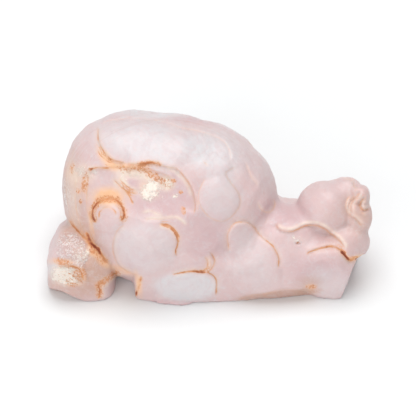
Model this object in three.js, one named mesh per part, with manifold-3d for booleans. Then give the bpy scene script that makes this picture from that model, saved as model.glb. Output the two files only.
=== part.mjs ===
// A pink chalcedony nodule, one piece of stone, resting on its flat cut base.
// Millimetres, +Z up. The origin is on the table under the base, half way along the stone. X runs along
// the stone from its foot to its snout, and Y runs from its display face to its back.
//
// The skin is one closed surface. It is the level set of a field that joins named lobes,
// each a rounded block or ellipsoid, and then raises swellings and ledges on the display face.
// Places on the display face are given as (u, v, w): u to the right, v up the face and w out of it.

import * as THREE from 'three';
import { mergeVertices } from 'three/addons/utils/BufferGeometryUtils.js';
import Module from 'manifold-3d';

// Driving dimensions
const LENGTH = 80;              // foot to snout
const DEPTH = 46;               // display face to back
const HEIGHT = 38;              // base to crest
const FACE_TILT = 40;           // degrees that the display face leans back from upright
const ORIGIN_BACK = 14;         // the origin is this far behind the front edge of the base
const CELL = 1.75;              // spacing of the net that the skin is drawn on
const NET_MARGIN = [4, 6.4, 3]; // how far the net starts outside the stone along X, Y and Z
const CUT_CLEARANCE = 0.22;     // no point of the skin lies nearer than this to the cut base
const FACE_BACK = -7;           // w where the relief of the display face has died out
const FACE_FRONT = -2;          // w from which it has its full height
const COLOUR = 0xe6cfce;
const ROUGHNESS = 0.42;

const tilt = THREE.MathUtils.degToRad(FACE_TILT);
const COS = Math.cos(tilt);
const SIN = Math.sin(tilt);

// A place given from the table (x along, y back, z up), as a place on the display face.
const stand = (x, y, z) => [x, z * COS + y * SIN, z * SIN - y * COS];

// Lobes: centre, half sizes, how square (2 is an ellipsoid), blend with what is there,
// lean within the face (degrees), upright (sizes run along x, z and y, not u, v and w).
const LOBES = [
  { name: 'dome', at: [-10.5, 24.6, -5], half: [25.4, 21, 19], square: 2.08, blend: 0 },
  { name: 'shoulder', at: [-20.8, 31.2, -5], half: [15, 14.9, 16], square: 2.1, blend: 2.5 },
  { name: 'crest', at: [1.6, 24.6, -5], half: [14.5, 15.3, 16], square: 2.1, blend: 4.5, lean: -30 },
  { name: 'skirt', at: stand(-2.4, 13.6, 4), half: [16, 10, 14], square: 6, blend: 2, upright: true },
  { name: 'apron', at: stand(18, 15, 2), half: [16.5, 9.5, 13.6], square: 3.6, blend: 3, upright: true },
  { name: 'heel', at: stand(-13.4, 6.6, 3.2), half: [5.1, 5.6, 6.4], square: 7, blend: 1, upright: true },
  { name: 'neck', at: [18, 12.2, -6.5], half: [14, 11.8, 14], square: 2.3, blend: 2.6 },
  { name: 'snout', at: [29, 22.2, -1.5], half: [7.6, 7.2, 8.5], square: 2, blend: 1.6 },
  { name: 'brow', at: [33.6, 24.7, -2], half: [4.6, 6, 6], square: 2.2, blend: 2.4 },
  { name: 'petal_low', at: [36.3, 21, 0.8], half: [3.7, 4.6, 4.8], square: 2.3, blend: 1, lean: 12 },
  { name: 'petal_top', at: [36.6, 25.8, 1], half: [2.7, 2.6, 4.6], square: 2.6, blend: 1 },
  { name: 'chin', at: [33.8, 14.6, 0], half: [5.5, 4.6, 6], square: 2.2, blend: 1.8 },
  { name: 'chunk', at: stand(28.4, 12.6, 5), half: [9, 10.2, 12], square: 5, blend: 1, upright: true,
    facets: [
      { at: [34.8, 6.5, 0], out: [0.91, -0.4, 0.06] },
      { at: [29, 8, 7.6], out: [0.12, -0.2, 0.97] },
      { at: [32, 4, 4.6], out: [0.45, -0.35, 0.82] },
    ] },
  { name: 'foot', at: stand(-31.3, 9.6, 4.5), half: [8.4, 10.2, 9.9], square: 4, blend: 1.8, upright: true,
    facets: [
      { at: [-36.6, 2.2, 0], out: [-0.36, -0.93, 0.05] },
      { at: [-36, 17.6, 0], out: [-0.5, 0.83, 0.2] },
      { at: [-38, 14.4, 0], out: [-0.87, 0.42, 0.15] },
      { at: [-34, 12, 7.4], out: [-0.34, 0.25, 0.9] },
      { at: [-26, 9, 6.6], out: [0.42, 0.05, 0.9] },
      { at: [-23.4, 4, 0], out: [0.99, -0.05, 0.1] },
    ] },
  { name: 'back', at: stand(-8.5, 27, 8), half: [23, 14, 17.5], square: 2.4, blend: 4, upright: true },
  { name: 'back_right', at: stand(17, 21, 4), half: [14, 6.6, 9.5], square: 2.4, blend: 3, upright: true },
  { name: 'back_lump', at: stand(-16, 36, 15), half: [11, 10, 8.5], square: 2, blend: 1.2, upright: true },
  { name: 'back_knee', at: stand(4, 38, 7), half: [9, 8, 7], square: 2, blend: 1, upright: true },
  { name: 'end_lump', at: stand(-27, 27, 7), half: [8, 9, 10], square: 2.2, blend: 0.8, upright: true },
];

// Cuts that the breaking of the stone left: a place on each, its outward way and its softness,
// the span of u where it is full, and how fast it runs out on either side of that.
const BREAKS = [
  { name: 'under_edge', at: [19.6, 2.8, 2.9], out: [0.087, -0.9, 0.43], soft: 0.5, full: [12, 24], ramp: 0.35 },
];

// Swellings of the display face, and hollows where high is less than 0.
const SWELLINGS = [
  { name: 'upper_face', at: [-14, 39.5], half: [15, 6.2], lean: -8, high: 0.7, round: 1 },
  { name: 'recess', at: [-14.5, 26.3], half: [12, 6.6], lean: -10, high: -2, round: 1 },
  { name: 'recess_left', at: [-26.7, 28.2], half: [5.5, 4.5], lean: 0, high: -0.8, round: 1 },
  { name: 'knob', at: [-24.4, 20.6], half: [3.9, 4.2], lean: 0, high: 1.2, round: 0.8 },
  { name: 'bulge', at: [-15.7, 13.3], half: [8.1, 6.6], lean: 0, high: 1.8, round: 0.9 },
  { name: 'cut_face', at: [-5.6, 3.2], half: [8, 4.9], lean: 0, high: 0.9, round: 0.8 },
  { name: 'swelling', at: [-4.9, 9.6], half: [5.2, 2.6], lean: 0, high: 0.6, round: 1 },
  { name: 'round_lobe', at: [2.5, 25], half: [5, 5.4], lean: 0, high: 0.9, round: 0.9 },
  { name: 'arch_top', at: [8, 15.6], half: [3.6, 4.2], lean: 0, high: 0.5, round: 0.8 },
  { name: 'arch_body', at: [11, 8.6], half: [6.2, 9.6], lean: 25, high: 0.9, round: 0.8 },
  { name: 'hollow', at: [24.3, 14.6], half: [7.5, 3.2], lean: 0, high: -0.7, round: 1 },
];

// Ledges: the skin left of each line stands higher than the skin right of it.
const LEDGES = [
  { name: 'upper_left', high: 0.9, fade: 3,
    line: [[-26.9, 42.7], [-26.4, 38.2], [-24.8, 35.6], [-23.2, 34.4], [-20, 33.5]] },
  { name: 'upper_right', high: 1.3, fade: 3,
    line: [[-20, 33.5], [-15.8, 34.1], [-11.6, 33.6], [-7.9, 32.3], [-4.3, 27.6], [-3.4, 24.4],
      [-3.8, 21.2]] },
  { name: 'knob', high: -0.7, fade: 2,
    line: [[-27.1, 18.9], [-28.2, 21.1], [-26.1, 24.5], [-24.1, 25], [-20.6, 22.4], [-21.6, 19.4]] },
  { name: 'arch', high: -0.8, fade: 2.5,
    line: [[4.8, 12], [4.4, 16], [6.5, 19.2], [10.7, 18.3], [14.2, 14.7], [16.9, 10.3], [16.6, 8]] },
  { name: 'ledge_upper', high: 1.2, fade: 3,
    line: [[16.2, 19.4], [18.2, 17.2], [22.3, 18], [27, 18.3], [31.9, 14.6], [33.1, 12.5]] },
  { name: 'ledge_lower', high: 1, fade: 3,
    line: [[23.3, 11.5], [27.4, 13.1], [31.9, 12.5], [34.1, 10.2], [38, 12]] },
];

// The rosette at the tip of the snout: rings of curled ridges about an axis that leaves the face,
// as a profile of radius and height from its buried foot to the bud in its middle.
const ROSETTE = { at: [36, 23.6, 3], axis: [0.5, 0.06, 0.86], narrow: 0.8 };
const ROSETTE_PROFILE = [
  [0, -3.2], [4, -3], [4.8, -1], [4.6, 0.1], [3.9, 0.5], [3.4, 0], [3, 0.9], [2.3, 1.2],
  [1.8, 0.6], [1.4, 1.5], [0.7, 1.9], [0, 1.3],
];

// The field

const smoothStep = (x, low, high) => {
  const t = Math.min(Math.max((x - low) / (high - low), 0), 1);
  return t * t * (3 - 2 * t);
};

// Joins two distances with a fillet of the given width, and cuts one by the other.
const join = (a, b, width) => {
  if (width <= 0) return Math.min(a, b);
  const near = Math.max(width - Math.abs(a - b), 0) / width;
  return Math.min(a, b) - near * near * width * 0.25;
};
const cut = (a, b, width) => -join(-a, -b, width);

const planeDistance = (u, v, w, { at, out }) =>
  (u - at[0]) * out[0] + (v - at[1]) * out[1] + (w - at[2]) * out[2];

// Rough distance to a lobe's surface, less than 0 inside it.
function lobeDistance(u, v, w, lobe) {
  let du = u - lobe.at[0];
  let dv = v - lobe.at[1];
  let dw = w - lobe.at[2];
  if (lobe.lean) {
    const lean = THREE.MathUtils.degToRad(lobe.lean);
    [du, dv] = [Math.cos(lean) * du + Math.sin(lean) * dv, Math.cos(lean) * dv - Math.sin(lean) * du];
  }
  if (lobe.upright) [dv, dw] = [COS * dv + SIN * dw, COS * dw - SIN * dv];
  const parts = [du, dv, dw].map((d, i) => Math.abs(d) / lobe.half[i]);
  const size = Math.max(parts.reduce((sum, t) => sum + t ** lobe.square, 0) ** (1 / lobe.square), 1e-3);
  const slopes = parts.map((t, i) => t ** (lobe.square - 1) / lobe.half[i]);
  const slope = Math.hypot(...slopes) / size ** (lobe.square - 1);
  let distance = (size - 1) / Math.max(slope, 1e-3);
  for (const facet of lobe.facets ?? []) distance = cut(distance, planeDistance(u, v, w, facet), 0.6);
  return distance;
}

// Each ledge as a smooth curve, cut into short straight steps.
const ledgeSteps = LEDGES.map(({ line, high, fade }) => {
  const curve = new THREE.CatmullRomCurve3(line.map(([u, v]) => new THREE.Vector3(u, v, 0)));
  return { points: curve.getPoints(line.length * 5), high, fade };
});

// Signed distance from (u, v) to a ledge, more than 0 on its left, and the share of the way along.
function ledgeDistance(u, v, points) {
  let best = { distance: Infinity, side: 1, along: 0 };
  for (let i = 0; i + 1 < points.length; i += 1) {
    const a = points[i];
    const du = points[i + 1].x - a.x;
    const dv = points[i + 1].y - a.y;
    const t = Math.min(Math.max(((u - a.x) * du + (v - a.y) * dv) / (du * du + dv * dv), 0), 1);
    const distance = Math.hypot(u - a.x - t * du, v - a.y - t * dv);
    if (distance < best.distance) {
      const side = Math.sign(du * (v - a.y) - dv * (u - a.x)) || 1;
      best = { distance, side, along: (i + t) / (points.length - 1) };
    }
  }
  return best;
}

// How far the display face stands out at (u, v).
function relief(u, v) {
  let out = 0;
  for (const { at, half, lean, high, round } of SWELLINGS) {
    const turn = THREE.MathUtils.degToRad(lean);
    const x = Math.cos(turn) * (u - at[0]) + Math.sin(turn) * (v - at[1]);
    const y = Math.cos(turn) * (v - at[1]) - Math.sin(turn) * (u - at[0]);
    out += high * Math.max(1 - (x / half[0]) ** 2 - (y / half[1]) ** 2, 0) ** round;
  }
  for (const { points, high, fade } of ledgeSteps) {
    const { distance, side, along } = ledgeDistance(u, v, points);
    const ends = smoothStep(Math.min(along, 1 - along), 0, 0.1);
    out += 0.5 * high * side * Math.tanh(distance / 0.4) * Math.exp(-distance / fade) * ends;
  }
  return out;
}

// Slow lumps all over the stone.
const lumps = (u, v, w) =>
  0.26 * Math.sin(0.42 * u + 0.9 + 1.1 * Math.sin(0.21 * w)) * Math.sin(0.37 * v + 0.4)
    * Math.sin(0.33 * w + 1.9)
  + 0.11 * Math.sin(0.83 * u - 0.31 * w + 0.6) * Math.sin(0.74 * v + 0.52 * w + 2.2);

// The whole stone's field at (u, v, w), less than 0 inside the stone.
function field(u, v, w) {
  let distance = Infinity;
  for (const lobe of LOBES) {
    const next = lobeDistance(u, v, w, lobe);
    distance = distance === Infinity ? next : join(distance, next, lobe.blend);
  }
  for (const face of BREAKS) {
    const runsOut = face.ramp * Math.max(face.full[0] - u, u - face.full[1], 0);
    distance = cut(distance, planeDistance(u, v, w, face) - runsOut, face.soft);
  }
  const front = smoothStep(w, FACE_BACK, FACE_FRONT);
  return distance - lumps(u, v, w) - (front > 0 ? front * relief(u, v) : 0);
}

const fieldAt = (x, y, z) => field(...stand(x, y, z));

// The skin

// Draws the field's level set as a net: one point in each cell that the surface crosses,
// at the middle of its crossings, and four-sided meshes between cells that share a crossed edge.
function skin() {
  const low = [-LENGTH / 2 - NET_MARGIN[0], -NET_MARGIN[1], -NET_MARGIN[2]];
  const spans = [LENGTH + 2 * NET_MARGIN[0], DEPTH + 2 * NET_MARGIN[1], HEIGHT + 2 * NET_MARGIN[2]];
  const counts = spans.map((span) => Math.ceil(span / CELL) + 1);
  const [nx, ny, nz] = counts;
  const index = (i, j, k) => (i * ny + j) * nz + k;
  const values = new Float64Array(nx * ny * nz);
  for (let i = 0; i < nx; i += 1) {
    for (let j = 0; j < ny; j += 1) {
      for (let k = 0; k < nz; k += 1) {
        values[index(i, j, k)] = fieldAt(low[0] + i * CELL, low[1] + j * CELL, low[2] + k * CELL);
      }
    }
  }

  // In the lowest layer the stone is closed off, so that the skin has no hole under the cut.
  for (let i = 0; i < nx; i += 1) {
    for (let j = 0; j < ny; j += 1) values[index(i, j, 0)] = Math.max(values[index(i, j, 0)], 1);
  }

  const corners = [0, 1, 2, 3, 4, 5, 6, 7].map((n) => [n & 1, (n >> 1) & 1, n >> 2]);
  const pointOf = new Int32Array(nx * ny * nz).fill(-1);
  const positions = [];
  for (let i = 0; i + 1 < nx; i += 1) {
    for (let j = 0; j + 1 < ny; j += 1) {
      for (let k = 0; k + 1 < nz; k += 1) {
        const at = corners.map(([a, b, c]) => values[index(i + a, j + b, k + c)]);
        const sum = [0, 0, 0];
        let crossings = 0;
        for (let a = 0; a < 8; a += 1) {
          for (const step of [1, 2, 4]) {
            const b = a | step;
            if (b === a || at[a] < 0 === at[b] < 0) continue;
            const t = at[a] / (at[a] - at[b]);
            corners[a].forEach((c, axis) => { sum[axis] += c + t * (corners[b][axis] - c); });
            crossings += 1;
          }
        }
        if (!crossings) continue;
        pointOf[index(i, j, k)] = positions.length / 3;
        [i, j, k].forEach((n, axis) => positions.push(low[axis] + (n + sum[axis] / crossings) * CELL));
      }
    }
  }

  const triangles = [];
  const quad = (a, b, c, d, flip) => {
    if (flip) triangles.push(a, c, b, a, d, c);
    else triangles.push(a, b, c, a, c, d);
  };
  for (let i = 1; i + 1 < nx; i += 1) {
    for (let j = 1; j + 1 < ny; j += 1) {
      for (let k = 1; k + 1 < nz; k += 1) {
        const here = values[index(i, j, k)] < 0;
        const p = (a, b, c) => pointOf[index(i - a, j - b, k - c)];
        const crosses = (a, b, c) => here !== values[index(i + a, j + b, k + c)] < 0;
        if (crosses(1, 0, 0)) quad(p(0, 1, 1), p(0, 0, 1), p(0, 0, 0), p(0, 1, 0), !here);
        if (crosses(0, 1, 0)) quad(p(1, 0, 1), p(1, 0, 0), p(0, 0, 0), p(0, 0, 1), !here);
        if (crosses(0, 0, 1)) quad(p(1, 1, 0), p(0, 1, 0), p(0, 0, 0), p(1, 0, 0), !here);
      }
    }
  }
  // The lowest layer's own edges are closed off below, where only upward edges are crossed.
  for (let i = 1; i + 1 < nx; i += 1) {
    for (let j = 1; j + 1 < ny; j += 1) {
      const p = (a, b) => pointOf[index(i - a, j - b, 0)];
      if (values[index(i, j, 1)] < 0) quad(p(1, 1), p(0, 1), p(0, 0), p(1, 0), true);
    }
  }
  settle(positions);
  const geometry = new THREE.BufferGeometry();
  geometry.setAttribute('position', new THREE.Float32BufferAttribute(positions, 3));
  geometry.setIndex(triangles);
  return geometry;
}

// Moves the skin's points onto the surface, and off the plane of the cut base.
function settle(positions) {
  const step = 0.05;
  for (let n = 0; n < positions.length; n += 3) {
    for (let pass = 0; pass < 3 && positions[n + 2] > 0; pass += 1) {
      const [x, y, z] = positions.slice(n, n + 3);
      const value = fieldAt(x, y, z);
      const slope = [
        (fieldAt(x + step, y, z) - fieldAt(x - step, y, z)) / (2 * step),
        (fieldAt(x, y + step, z) - fieldAt(x, y - step, z)) / (2 * step),
        (fieldAt(x, y, z + step) - fieldAt(x, y, z - step)) / (2 * step),
      ];
      const steep = Math.max(slope[0] ** 2 + slope[1] ** 2 + slope[2] ** 2, 0.25);
      const move = THREE.MathUtils.clamp(value / steep, -0.3 * CELL, 0.3 * CELL);
      slope.forEach((s, axis) => { positions[n + axis] -= 0.7 * move * s; });
    }
    if (Math.abs(positions[n + 2]) < CUT_CLEARANCE) {
      positions[n + 2] = positions[n + 2] > 0.5 * CUT_CLEARANCE ? CUT_CLEARANCE : -CUT_CLEARANCE;
    }
  }
}

// Solids, joined and cut

const wasm = await Module();
wasm.setup();

function toSolid(geometry) {
  const bare = geometry.clone();
  bare.deleteAttribute('normal');
  bare.deleteAttribute('uv');
  const merged = mergeVertices(bare, 1e-4);
  return new wasm.Manifold(new wasm.Mesh({
    numProp: 3,
    vertProperties: new Float32Array(merged.attributes.position.array),
    triVerts: new Uint32Array(merged.index.array),
  }));
}

function toGeometry(solid) {
  const { numProp, vertProperties, triVerts } = solid.getMesh();
  const positions = [];
  for (let n = 0; n < vertProperties.length; n += numProp) positions.push(...vertProperties.slice(n, n + 3));
  const geometry = new THREE.BufferGeometry();
  geometry.setAttribute('position', new THREE.Float32BufferAttribute(positions, 3));
  geometry.setIndex(Array.from(triVerts));
  geometry.computeVertexNormals();
  return geometry;
}

// A place on the display face, as a place on the table's axes.
const fromFace = ([u, v, w]) => new THREE.Vector3(u, v * SIN - w * COS, v * COS + w * SIN);

function rosette() {
  const profile = ROSETTE_PROFILE.map(([radius, height]) => new THREE.Vector2(radius, height));
  const axis = fromFace(ROSETTE.axis).normalize();
  const turn = new THREE.Quaternion().setFromUnitVectors(new THREE.Vector3(0, 1, 0), axis);
  const place = fromFace(ROSETTE.at);
  return new THREE.LatheGeometry(profile, 16).scale(ROSETTE.narrow, 1, 1)
    .applyQuaternion(turn).translate(place.x, place.y, place.z);
}

function stone() {
  const grown = toSolid(skin()).add(toSolid(rosette()));
  const below = new THREE.BoxGeometry(2 * LENGTH, 2 * LENGTH, HEIGHT).translate(0, 0, -HEIGHT / 2);
  return toGeometry(grown.subtract(toSolid(below))).translate(0, -ORIGIN_BACK, 0);
}

const material = new THREE.MeshStandardMaterial({ color: COLOUR, roughness: ROUGHNESS, metalness: 0 });
const chalcedony = new THREE.Mesh(stone(), material);
chalcedony.name = 'chalcedony';

const specimen = new THREE.Group();
specimen.add(chalcedony);
export default specimen;
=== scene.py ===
"""A pink chalcedony nodule, one grown piece of stone on its flat cut base, on a white table.

The stone's skin is the level set of a field that joins named lobes. Its display face carries a
relief map and colour maps of stains and tones, with some painted shade and highlights, which are
functions of two parameters on a grid: u runs to the right and v up the face, and w leaves the
face. The back has a map of its own. The field works in millimetres, and the finished mesh is in metres.
"""

import logging
from dataclasses import dataclass, field as a_field
from enum import Enum

import bpy
import numpy as np
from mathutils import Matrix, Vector


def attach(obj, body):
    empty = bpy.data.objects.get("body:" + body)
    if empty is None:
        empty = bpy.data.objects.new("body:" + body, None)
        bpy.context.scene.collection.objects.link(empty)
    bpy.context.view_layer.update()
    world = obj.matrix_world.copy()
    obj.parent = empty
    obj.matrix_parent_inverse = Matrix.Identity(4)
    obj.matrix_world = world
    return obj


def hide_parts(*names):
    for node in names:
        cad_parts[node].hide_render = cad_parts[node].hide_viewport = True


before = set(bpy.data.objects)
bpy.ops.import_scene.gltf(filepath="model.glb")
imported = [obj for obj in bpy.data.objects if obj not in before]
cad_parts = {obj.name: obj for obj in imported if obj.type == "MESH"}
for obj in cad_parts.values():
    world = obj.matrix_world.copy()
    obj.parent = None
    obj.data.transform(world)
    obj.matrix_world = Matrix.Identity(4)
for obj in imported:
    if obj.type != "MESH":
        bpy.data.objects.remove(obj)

log = logging.getLogger("chalcedony")

MM = 0.001
FACE_TILT = np.radians(40.0)  # how far the display face leans back from upright
COS, SIN = float(np.cos(FACE_TILT)), float(np.sin(FACE_TILT))
DEPTH = 46.0  # display face to back
ORIGIN_BACK = 14.0  # the part's origin is this far behind the front edge of the base
FACET_EDGE = 0.6  # rounding of a broken flat's edges
FAR = 1e9  # further than any seam
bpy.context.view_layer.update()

Place = tuple[float, float, float]
Spot = tuple[float, float]


def stand(x: float, y: float, z: float) -> Place:
    """A place from the table (x along, y back, z up), as (u, v, w) on the display face's axes."""
    return (x, z * COS + y * SIN, z * SIN - y * COS)


def smooth(x: np.ndarray, low: float, high: float) -> np.ndarray:
    """0 below low, 1 above high, and a smooth step between them."""
    t = np.clip((x - low) / (high - low), 0.0, 1.0)
    return t * t * (3.0 - 2.0 * t)


def join(a: np.ndarray, b: np.ndarray, width: float) -> np.ndarray:
    """Joins two distances with a fillet: the lesser, less a quadratic bump where they are near.

    Args:
        a, b: the two distances.
        width: how near they are where the fillet starts.

    Returns:
        The joined distance.
    """
    if width <= 0:
        return np.minimum(a, b)
    near = np.maximum(width - np.abs(a - b), 0.0) / width
    return np.minimum(a, b) - near * near * (width * 0.25)


def cut(a: np.ndarray, b: np.ndarray, width: float) -> np.ndarray:
    """Cuts one distance by another, with a rounded edge of the given width."""
    return -join(-a, -b, width)


def from_middle(u: np.ndarray, v: np.ndarray, at: Spot, half: Spot, lean: float) -> np.ndarray:
    """The squared distance from a leaned ellipse's middle, scaled to be 1 on its edge.

    Args:
        u, v: places on the face.
        at: the ellipse's middle.
        half: its half lengths along and across.
        lean: degrees that it is turned anticlockwise.

    Returns:
        The scaled distance squared at each place.
    """
    c, s = np.cos(np.radians(lean)), np.sin(np.radians(lean))
    x, y = c * (u - at[0]) + s * (v - at[1]), c * (v - at[1]) - s * (u - at[0])
    return (x / half[0]) ** 2 + (y / half[1]) ** 2


@dataclass(frozen=True)
class Facet:
    """A broken flat: a place on it and its outward way, on the display face's axes."""

    at: Place
    out: Place

    def distance(self, u: np.ndarray, v: np.ndarray, w: np.ndarray) -> np.ndarray:
        """Distance out of the flat's plane."""
        du, dv, dw = u - self.at[0], v - self.at[1], w - self.at[2]
        return du * self.out[0] + dv * self.out[1] + dw * self.out[2]


@dataclass(frozen=True)
class Lobe:
    """A rounded block: a superellipsoid, leaned within the face or stood upright on the table.

    square is its power, where 2 is an ellipsoid, and blend the fillet to what is there already.
    """

    name: str
    at: Place
    half: Place
    square: float
    blend: float
    lean: float = 0.0
    upright: bool = False
    facets: tuple[Facet, ...] = ()

    def distance(self, u: np.ndarray, v: np.ndarray, w: np.ndarray) -> np.ndarray:
        """Rough distance to the lobe: its power mean of scaled offsets, less 1, over the slope.

        Args:
            u, v, w: places on the display face's axes.

        Returns:
            The distance at each place, less than 0 inside, with the facets cut.
        """
        du, dv, dw = u - self.at[0], v - self.at[1], w - self.at[2]
        if self.lean:
            c, s = np.cos(np.radians(self.lean)), np.sin(np.radians(self.lean))
            du, dv = c * du + s * dv, c * dv - s * du
        if self.upright:
            dv, dw = COS * dv + SIN * dw, COS * dw - SIN * dv
        parts = [np.maximum(np.abs(d) / half, 1e-6) for d, half in zip((du, dv, dw), self.half)]
        lesser = [t ** (self.square - 1) for t in parts]
        size = sum(s * t for s, t in zip(lesser, parts)) ** (1 / self.square)
        size = np.maximum(size, 1e-3)
        slope = np.sqrt(sum((s / half) ** 2 for s, half in zip(lesser, self.half)))
        out = (size - 1) / np.maximum(slope / size ** (self.square - 1), 1e-3)
        for facet in self.facets:
            out = cut(out, facet.distance(u, v, w), FACET_EDGE)
        return out


@dataclass(frozen=True)
class Swelling:
    """A low dome on a face, or a hollow where high is less than 0."""

    name: str
    at: Spot
    half: Spot
    lean: float
    high: float
    round: float

    def raise_on(self, u: np.ndarray, v: np.ndarray) -> np.ndarray:
        """high times (1 - q) to the power round, where q is the scaled distance squared."""
        q = from_middle(u, v, self.at, self.half, self.lean)
        return self.high * np.maximum(1 - q, 0.0) ** self.round


@dataclass(frozen=True)
class Seam:
    """A line where two growths meet: a groove, a ledge up on its left, what stains or crusts it, and a
    pale line beside it that is partly painted highlight.
    """

    name: str
    line: tuple[Spot, ...]
    deep: float            # depth of the groove
    half: float            # half width of the groove
    step: float            # how far the left side stands above the right
    fade: float            # how far the ledge reaches to either side
    stain: float           # how dark the line is
    bleed: float = 0.6     # how far the stain and the crumbs reach
    crumbs: float = 0.0    # how thick the rust crumbs lie
    # the pale line is partly pale stone, partly painted highlight along the ledge's edge
    cream: float = 0.0     # how pale the line beside the seam is
    cream_at: float = 0.7  # how far to the left the pale line runs

    def path(self, per: int = 7) -> np.ndarray:
        """A Catmull-Rom curve through the line's points, as short straight steps.

        Args:
            per: steps between two points of the line.

        Returns:
            The curve's points, one (u, v) to a row.
        """
        p = np.asarray(self.line)
        p = np.concatenate([[2 * p[0] - p[1]], p, [2 * p[-1] - p[-2]]])
        t = (np.arange(per) / per)[None, :, None]
        a, b, c, d = (p[i:len(p) - 3 + i][:, None] for i in range(4))
        square, cube = 2 * a - 5 * b + 4 * c - d, 3 * b - a - 3 * c + d
        cubic = 2 * b + (c - a) * t + square * t ** 2 + cube * t ** 3
        return np.concatenate([0.5 * cubic.reshape(-1, 2), p[-2][None]])

    def nearest(self, u: np.ndarray, v: np.ndarray) -> tuple[np.ndarray, np.ndarray]:
        """How places lie to the seam, from the nearest of its straight steps.

        Args:
            u, v: places on the face.

        Returns:
            The signed distance, more than 0 on the seam's left, and the length to its nearer end.
        """
        path = self.path()
        ab = np.diff(path, axis=0)
        length = np.hypot(ab[:, 0], ab[:, 1])
        start = np.concatenate([[0.0], np.cumsum(length)])
        best, side, along = np.full(u.shape, FAR), np.ones(u.shape), np.zeros(u.shape)
        for i, (du, dv) in enumerate(ab):
            x, y = u - path[i, 0], v - path[i, 1]
            t = np.clip((x * du + y * dv) / length[i] ** 2, 0, 1)
            far = np.hypot(x - t * du, y - t * dv)
            near = far < best
            best = np.where(near, far, best)
            side = np.where(near, np.where(du * y - dv * x < 0, -1.0, 1.0), side)
            along = np.where(near, start[i] + t * length[i], along)
        return best * side, np.minimum(along, start[-1] - along)


class Tone(Enum):
    """The colour channels that the maps carry."""

    RUST = "rust"      # crumbs of iron stain
    GLOW = "glow"      # soft apricot stain
    CRUST = "crust"    # sugary white crust
    DRUSE = "druse"    # a skin of small glassy crystals
    MILK = "milk"      # milky, bluish white chalcedony
    BLUSH = "blush"    # deeper pink
    TAN = "tan"        # warm tan stain of the foot
    # The pale lines are partly pale stone and partly painted highlight along the ledges' edges.
    CREAM = "cream"    # pale lines beside the seams


@dataclass(frozen=True)
class Patch:
    """A soft patch of a tone on a face."""

    tone: Tone
    at: Spot
    half: Spot
    lean: float
    much: float
    edge: float = 0.5

    def paint(self, u: np.ndarray, v: np.ndarray) -> np.ndarray:
        """much inside the scaled ellipse, fading to 0 across its outer share, edge."""
        q = np.sqrt(from_middle(u, v, self.at, self.half, self.lean))
        return self.much * (1 - smooth(q, 1 - self.edge, 1 + self.edge))


def patches(rows: dict[Tone, tuple]) -> tuple[Patch, ...]:
    """Makes the patches of a face.

    Args:
        rows: for each tone, its patches as (at, half, lean, much, edge).

    Returns:
        The patches.
    """
    return tuple(Patch(tone, *row) for tone, group in rows.items() for row in group)


FACE_SWELLINGS = (
    Swelling("upper_face", (-14.0, 39.5), (15.0, 6.2), -8, 0.7, 1.0),
    Swelling("recess", (-14.5, 26.3), (12.0, 6.6), -10, -2.0, 1.0),
    Swelling("recess_left", (-26.7, 28.2), (5.5, 4.5), 0, -0.7, 1.0),
    Swelling("recess_lens", (-18.4, 28.6), (3.0, 1.8), -15, 0.5, 1.0),
    Swelling("knob", (-24.4, 20.6), (3.9, 4.2), 0, 1.0, 0.7),
    Swelling("knob_ring", (-24.6, 20.4), (2.4, 2.6), 0, 0.25, 0.8),
    Swelling("bulge", (-15.7, 13.3), (8.3, 6.8), 0, 1.5, 1.15),
    Swelling("cut_face", (-5.6, 3.2), (8.0, 4.9), 0, 0.7, 0.8),
    Swelling("swelling", (-4.9, 9.6), (5.2, 2.6), 0, 0.6, 1.0),
    Swelling("round_lobe", (2.5, 25.0), (5.0, 5.4), 0, 0.7, 0.9),
    Swelling("round_top", (1.5, 33.4), (4.0, 3.0), 0, 0.3, 1.0),
    Swelling("arch_top", (8.0, 15.6), (3.6, 4.2), 0, 0.5, 0.8),
    Swelling("arch_body", (11.0, 8.6), (6.2, 9.6), 25, 0.9, 0.8),
    Swelling("lens", (13.9, 24.0), (2.3, 2.4), 0, 0.4, 0.9),
    Swelling("hollow", (24.3, 14.6), (7.5, 3.2), 0, -0.5, 1.0),
    Swelling("pit", (21.6, 14.2), (0.7, 0.5), 0, -0.8, 1.0),
    Swelling("crust_heap", (-14.4, 26.6), (2.2, 2.2), -30, 0.3, 0.8),
    Swelling("crust_heap_right", (-9.0, 28.8), (2.2, 1.3), -20, 0.25, 0.8),
    Swelling("foot_crust", (-35.2, 6.8), (3.8, 2.0), -8, 0.3, 0.8),
    Swelling("foot_hollow", (-33.2, 10.2), (5.0, 0.7), -4, -0.35, 1.0),
)

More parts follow.
